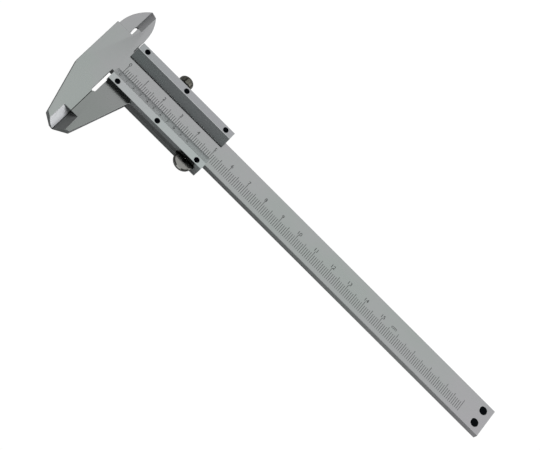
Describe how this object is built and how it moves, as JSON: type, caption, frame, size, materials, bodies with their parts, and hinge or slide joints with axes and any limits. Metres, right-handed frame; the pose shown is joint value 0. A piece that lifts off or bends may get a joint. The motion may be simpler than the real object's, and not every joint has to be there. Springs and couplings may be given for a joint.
{
  "type": "sliding caliper",
  "caption": "Vernier caliper: graduated flat beam with fixed jaw and fin, riveted slider with vernier plate, thumb roller, lock screw and depth rod.",
  "frame": {"origin": "under the middle of the caliper's length, on the surface that its back lies on", "axes": "+X along the beam from the closed jaws to the far end, +Y towards the inside jaws, +Z out of the scale face"},
  "size_m": [0.2304, 0.0746, 0.0081],
  "materials": {
    "satin_steel": "fine ground satin stainless steel",
    "satin_chrome": "satin chrome on ground steel",
    "black_steel": "black oxide",
    "bright_steel": "turned and polished",
    "nickel_knob": "nickel plated, knurled",
    "spring_steel": "drawn spring steel"
  },
  "bodies": {
    "beam_body": {"beam": "satin_steel", "stop_block": "spring_steel", "stop_screw_upper": "black_steel", "stop_screw_lower": "black_steel"},
    "slider": {"moving_jaw": "satin_steel", "rear_spacer": "satin_steel", "upper_spacer": "satin_steel", "vernier_plate": "satin_chrome", "upper_rail": "satin_chrome", "back_plate": "satin_steel", "spring_strip": "spring_steel", "depth_rod": "spring_steel", "rod_pin_1": "spring_steel", "rod_pin_2": "spring_steel", "roller_axle": "bright_steel", "rivet_upper_left": "black_steel", "rivet_upper_middle": "black_steel", "rivet_upper_right": "black_steel", "rivet_lower_left": "black_steel", "rivet_lower_middle": "black_steel", "rivet_lower_right": "black_steel"},
    "lock_screw_body": {"lock_screw": "nickel_knob"},
    "roller_body": {"thumb_roller": "bright_steel"}
  },
  "joints": [
    {"name": "slider_travel", "type": "slide", "parent": "beam_body", "child": "slider", "axis": [1, 0, 0], "range_m": [0, 0.155]},
    {"name": "roller_turn", "type": "hinge", "parent": "slider", "child": "roller_body", "pos_m": [-0.05462, -0.0047, 0.00403], "axis": [0, 0, 1], "range_deg": [0, 1935]},
    {"name": "lock_screw_turn", "type": "hinge", "parent": "slider", "child": "lock_screw_body", "pos_m": [-0.07685, 0.022, 0.00403], "axis": [0, 1, 0], "range_deg": [0, 360]}
  ],
  "couplings": [
    {"joint": "roller_turn", "follows": "slider_travel", "rad_per_m": 217.39}
  ]
}
